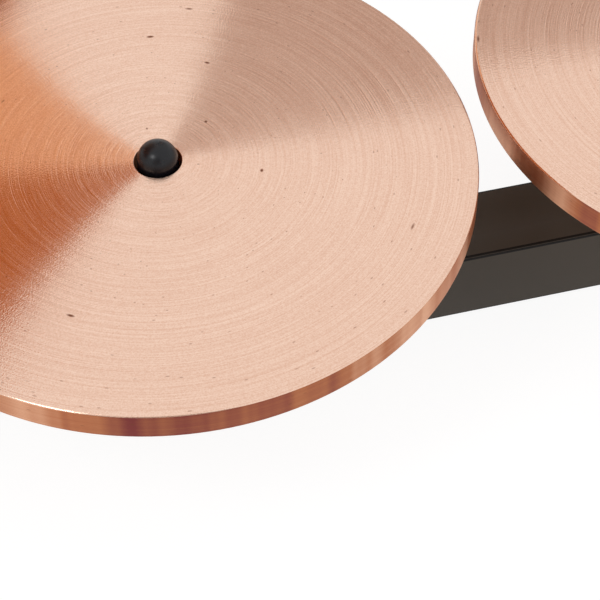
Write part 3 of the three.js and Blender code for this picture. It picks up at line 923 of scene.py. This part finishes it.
follows = add(knob_tree, MATH, {0: how_far_out, 1: LOBE_POWER}, operation="POWER")
above = {0: parts["Z"], 1: shoulder - A_HAIR}
on_knob = add(knob_tree, MATH, above, operation="GREATER_THAN")
for factor in (follows, on_knob, -1.0):
    inwards = add(knob_tree, MATH, {0: inwards, 1: factor}, operation="MULTIPLY")
lobed = add(knob_tree, VECTORS, {0: level_place, "Scale": inwards}, operation="SCALE")
formed = add(knob_tree, "GeometryNodeSetPosition", {"Geometry": knob_mesh, "Offset": lobed})
all_nylon = {0: shade(knob_tree, formed), "Material": moulded}
nylon_set = add(knob_tree, "GeometryNodeSetMaterial", all_nylon)
below = {0: parts["Z"], 1: STUD_LENGTH - A_HAIR}
on_stud = add(knob_tree, MATH, below, operation="LESS_THAN")
steel_stud = {0: nylon_set, "Selection": on_stud, "Material": zinc}
steel_set = add(knob_tree, "GeometryNodeSetMaterial", steel_stud)
to_its_bore = {0: steel_set, "Translation": given["Tip"], "Rotation": given["Turn"]}
moved = add(knob_tree, "GeometryNodeTransform", to_its_bore)
whole = add(knob_tree, "GeometryNodeRealizeInstances", {0: moved})
add(knob_tree, "NodeGroupOutput", {0: whole})

for side, out_sign in (("left", -1), ("right", 1)):
    node_name = f"clamp_knob_{side}"
    low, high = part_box(node_name)
    tip_x = low.x if out_sign > 0 else high.x
    own = {
        "Radius": KNOB_RADIUS,
        "Thickness": (high.x - low.x) - STUD_LENGTH - HUB_LENGTH,
        "Lobes": 6.0,
        "Dip": LOBE_DIP,
        "Tip": Vector((tip_x, (low.y + high.y) / 2, (low.z + high.z) / 2)),
        "Turn": Vector((0, out_sign * math.pi / 2, 0)),
    }
    knob = grow(f"star_knob_{side}", knob_tree, own)
    carry(knob, f"knob_{side}", "black_plastic", node_name)

# %% [markdown]
# ## Bar screws
# A button-head screw under each cross bar holds the rear bar down. Its head is turned and its
# socket is broached, which is the miller's rule again, this time inside a hole.

# %% Screws
SCREW_SIDES = 72
SOCKET_DEPTH = 2.0 * MM
HEAD_FACE = 3.5 * MM
HEAD_RADIUS = 5.25 * MM
HEAD_CROWN = 2.2 * MM
HEAD_HEIGHT = 3.05 * MM
SCREW_RADIUS = 3.0 * MM
SCREW_LENGTH = 30.1 * MM

screw_tree, given = new_tree("turn_a_screw", ["Socket Flats"])
half_socket = add(screw_tree, MATH, {0: given["Socket Flats"], 1: 2.0}, operation="DIVIDE")
socket_blank = add(screw_tree, MATH, {0: half_socket, 1: TO_CORNERS}, operation="MULTIPLY")
screw_corners = [
    (0.0, SOCKET_DEPTH, 0.0),
    (socket_blank, SOCKET_DEPTH, 0.0),
    (socket_blank, 0.0, 0.2),
    (HEAD_FACE, 0.0, 0.5),
    (HEAD_RADIUS, HEAD_CROWN, 1.0),
    (HEAD_RADIUS, HEAD_HEIGHT, 0.2),
    (SCREW_RADIUS, HEAD_HEIGHT, 0.2),
    (SCREW_RADIUS, SCREW_LENGTH, 0.6),
    (0.0, SCREW_LENGTH, 0.0),
]
screw_mesh = lathe(screw_tree, screw_corners, SCREW_SIDES, closed=False)
parts, _, _, out = polar(screw_tree)
socket_edge = add(screw_tree, MATH, {0: socket_blank, 1: A_HAIR}, operation="ADD")
near_axis = add(screw_tree, MATH, {0: out, 1: socket_edge}, operation="LESS_THAN")
below = {0: parts["Z"], 1: SOCKET_DEPTH + 10 * A_HAIR}
near_face = add(screw_tree, MATH, below, operation="LESS_THAN")
in_socket = add(screw_tree, MATH, {0: near_axis, 1: near_face}, operation="MULTIPLY")
broached = mill_hexagon(screw_tree, screw_mesh, half_socket, in_socket)
end_tree(screw_tree, shade(screw_tree, broached, sharpest=25.0), zinc, given["Geometry"])
SCREW_NODES = ["bar_screw_left", "bar_screw_right"]
screw_feet = [axis_foot(node_name) for node_name in SCREW_NODES]
screws = grow("button_head_screws", screw_tree, {"Socket Flats": 4.0 * MM}, screw_feet)
carry(screws, "frame", "zinc_steel", *SCREW_NODES)

# %% [markdown]
# ## The studio
# A white tent of light all round, which is the world, and a pale floor. The floor is a matt
# paper that takes the discs' soft shadow. It glows a little where the camera or a mirror looks at
# it, so that it reads as white, it fades out far away, and it is clear from below.

# %% World and floor
FLOOR_REACH = 3.0
FADE_FROM, FADE_TO = 1.2, 2.6
PAPER = (0.85, 0.85, 0.85, 1)
GLOW = 1.12
GLOW_SHARE = 0.8

world = bpy.data.worlds.new("white_tent")
scene.world = world
world.use_nodes = True
wire(world.node_tree.nodes["Background"], {"Color": (1, 1, 1, 1), "Strength": 1.0})

floor_paper, tree, shader = new_finish("pale_floor_paper")
tree.nodes.remove(shader)
white = add(tree, "ShaderNodeBsdfDiffuse", {"Color": PAPER})
glow = add(tree, "ShaderNodeEmission", {"Strength": GLOW})
ray = add(tree, "ShaderNodeLightPath").outputs
seen = ray["Is Camera Ray"]
for other_ray in ("Is Glossy Ray", "Is Transmission Ray"):
    seen = add(tree, MATH, {0: seen, 1: ray[other_ray]}, operation="ADD")
seen = add(tree, MATH, {0: seen, 1: 1.0}, operation="MINIMUM")
seen = add(tree, MATH, {0: seen, 1: GLOW_SHARE}, operation="MULTIPLY")
paper = add(tree, "ShaderNodeMixShader", {0: seen, 1: white, 2: glow})
clear = add(tree, "ShaderNodeBsdfTransparent")
place = add(tree, "ShaderNodeTexCoord").outputs["Object"]
far = add(tree, VECTORS, {0: place}, operation="LENGTH")
fading = {"Value": far, "From Min": FADE_FROM, "From Max": FADE_TO}
fade = add(tree, "ShaderNodeMapRange", fading, interpolation_type="SMOOTHSTEP")
backfacing = add(tree, "ShaderNodeNewGeometry").outputs["Backfacing"]
gone = add(tree, MATH, {0: fade, 1: backfacing}, operation="MAXIMUM")
surface = add(tree, "ShaderNodeMixShader", {0: gone, 1: paper, 2: clear})
wire(tree.nodes["Material Output"], {"Surface": surface})


def stage_mesh(name, corners, faces, finish, seen_by_camera=True):
    """Puts up an object of the studio, which isn't part of the crotales."""
    mesh = bpy.data.meshes.new(name)
    mesh.from_pydata([tuple(corner) for corner in corners], [], faces)
    mesh.materials.append(finish)
    prop = bpy.data.objects.new(name, mesh)
    prop.visible_camera = seen_by_camera
    scene.collection.objects.link(prop)
    print("studio:", name, len(faces), "faces")


signs = ((-1, -1), (1, -1), (1, 1), (-1, 1))
floor_corners = [(x * FLOOR_REACH, y * FLOOR_REACH, 0) for x, y in signs]
stage_mesh("floor", floor_corners, [(0, 1, 2, 3)], floor_paper)

# %% [markdown]
# ## Flags and a softbox
# Turned metal shows what is round it, so a fan of light needs something to show. Four flags of
# dull cloth hang on a wide dome over the discs, like a photographer's boards: dark and gold at the
# left for the deep orange wedge, grey at the back right for the faint one, and a dim room behind
# the camera. A small softbox at the front left gives the soft highlights. The camera sees none
# of them.

# %% Flags
DOME_RADIUS = 1.4
FLAG_LOWEST = math.cos(math.radians(14))
FLAG_STEPS, FLAG_ROWS = 24, 10
TIP_GAP = 0.02  # the share of a flag's length that is left open at its tip


def plain_cloth(name, light):
    """A cloth that sends back the same dull share of light everywhere."""
    cloth, _, shader = new_finish(name)
    dull = {"Base Color": (*light, 1.0), "Roughness": 1.0, "Specular IOR Level": 0.0}
    wire(shader, dull)
    return cloth


def hang_flag(name, cloth, tip, first, last):
    """A flag on a dome over disc e, drawn in plan on a circle of radius 1.

    It opens from its tip between two bearings and ends low over the floor.
    """
    tip = Matrix.Rotation(-TURNED_RIGHT, 2) @ Vector(tip)
    corners, faces = [], []
    for i in range(FLAG_STEPS + 1):
        bearing = math.radians(first + (last - first) * i / FLAG_STEPS) - TURNED_RIGHT
        way = Vector((math.cos(bearing), math.sin(bearing)))
        inward = tip.dot(way)
        longest = math.sqrt(inward**2 - tip.length_squared + FLAG_LOWEST**2) - inward
        for j in range(FLAG_ROWS + 1):
            spot = tip + way * longest * (TIP_GAP + (1 - TIP_GAP) * j / FLAG_ROWS)
            lift = math.sqrt(1 - spot.length_squared)
            corners.append(disc_middle + DOME_RADIUS * Vector((spot.x, spot.y, lift)))
            if i and j:
                here = i * (FLAG_ROWS + 1) + j
                faces.append((here, here - 1, here - FLAG_ROWS - 2, here - FLAG_ROWS - 1))
    stage_mesh(name, corners, faces, cloth, seen_by_camera=False)


dark_cloth = plain_cloth("dark_brown_cloth", (0.56, 0.19, 0.05))
gold_cloth = plain_cloth("gold_reflector_cloth", (0.97, 0.60, 0.36))
grey_cloth = plain_cloth("grey_cloth", (0.68, 0.61, 0.58))
room_cloth = plain_cloth("dim_room_cloth", (0.50, 0.44, 0.42))
hang_flag("left_flag", dark_cloth, (-0.092, 0.69), 186, 232)
hang_flag("left_reflector", gold_cloth, (-0.092, 0.69), 138, 186)
hang_flag("back_flag", grey_cloth, (-0.05, 0.725), 4, 71)
hang_flag("room_behind_camera", room_cloth, (0.0, -0.5), 225, 315)

# %% Softbox
SOFTBOX_WAY = Matrix.Rotation(-TURNED_RIGHT, 3, "Z") @ Vector((-0.40, -0.43, 0.81))
SOFTBOX_SIDE = 0.3
SOFTBOX_AWAY = 1.3
SOFTBOX_WATTS = 2.4
softbox_light = bpy.data.lights.new("softbox", "AREA")
softbox_light.shape = "SQUARE"
softbox_light.size = SOFTBOX_SIDE
softbox_light.energy = SOFTBOX_WATTS
softbox = bpy.data.objects.new("softbox", softbox_light)
softbox.location = disc_middle + SOFTBOX_WAY.normalized() * SOFTBOX_AWAY
softbox.rotation_euler = SOFTBOX_WAY.to_track_quat("Z", "Y").to_euler()
softbox.visible_camera = False
scene.collection.objects.link(softbox)
print("softbox stands at mm:", [round(v / MM) for v in softbox.location])
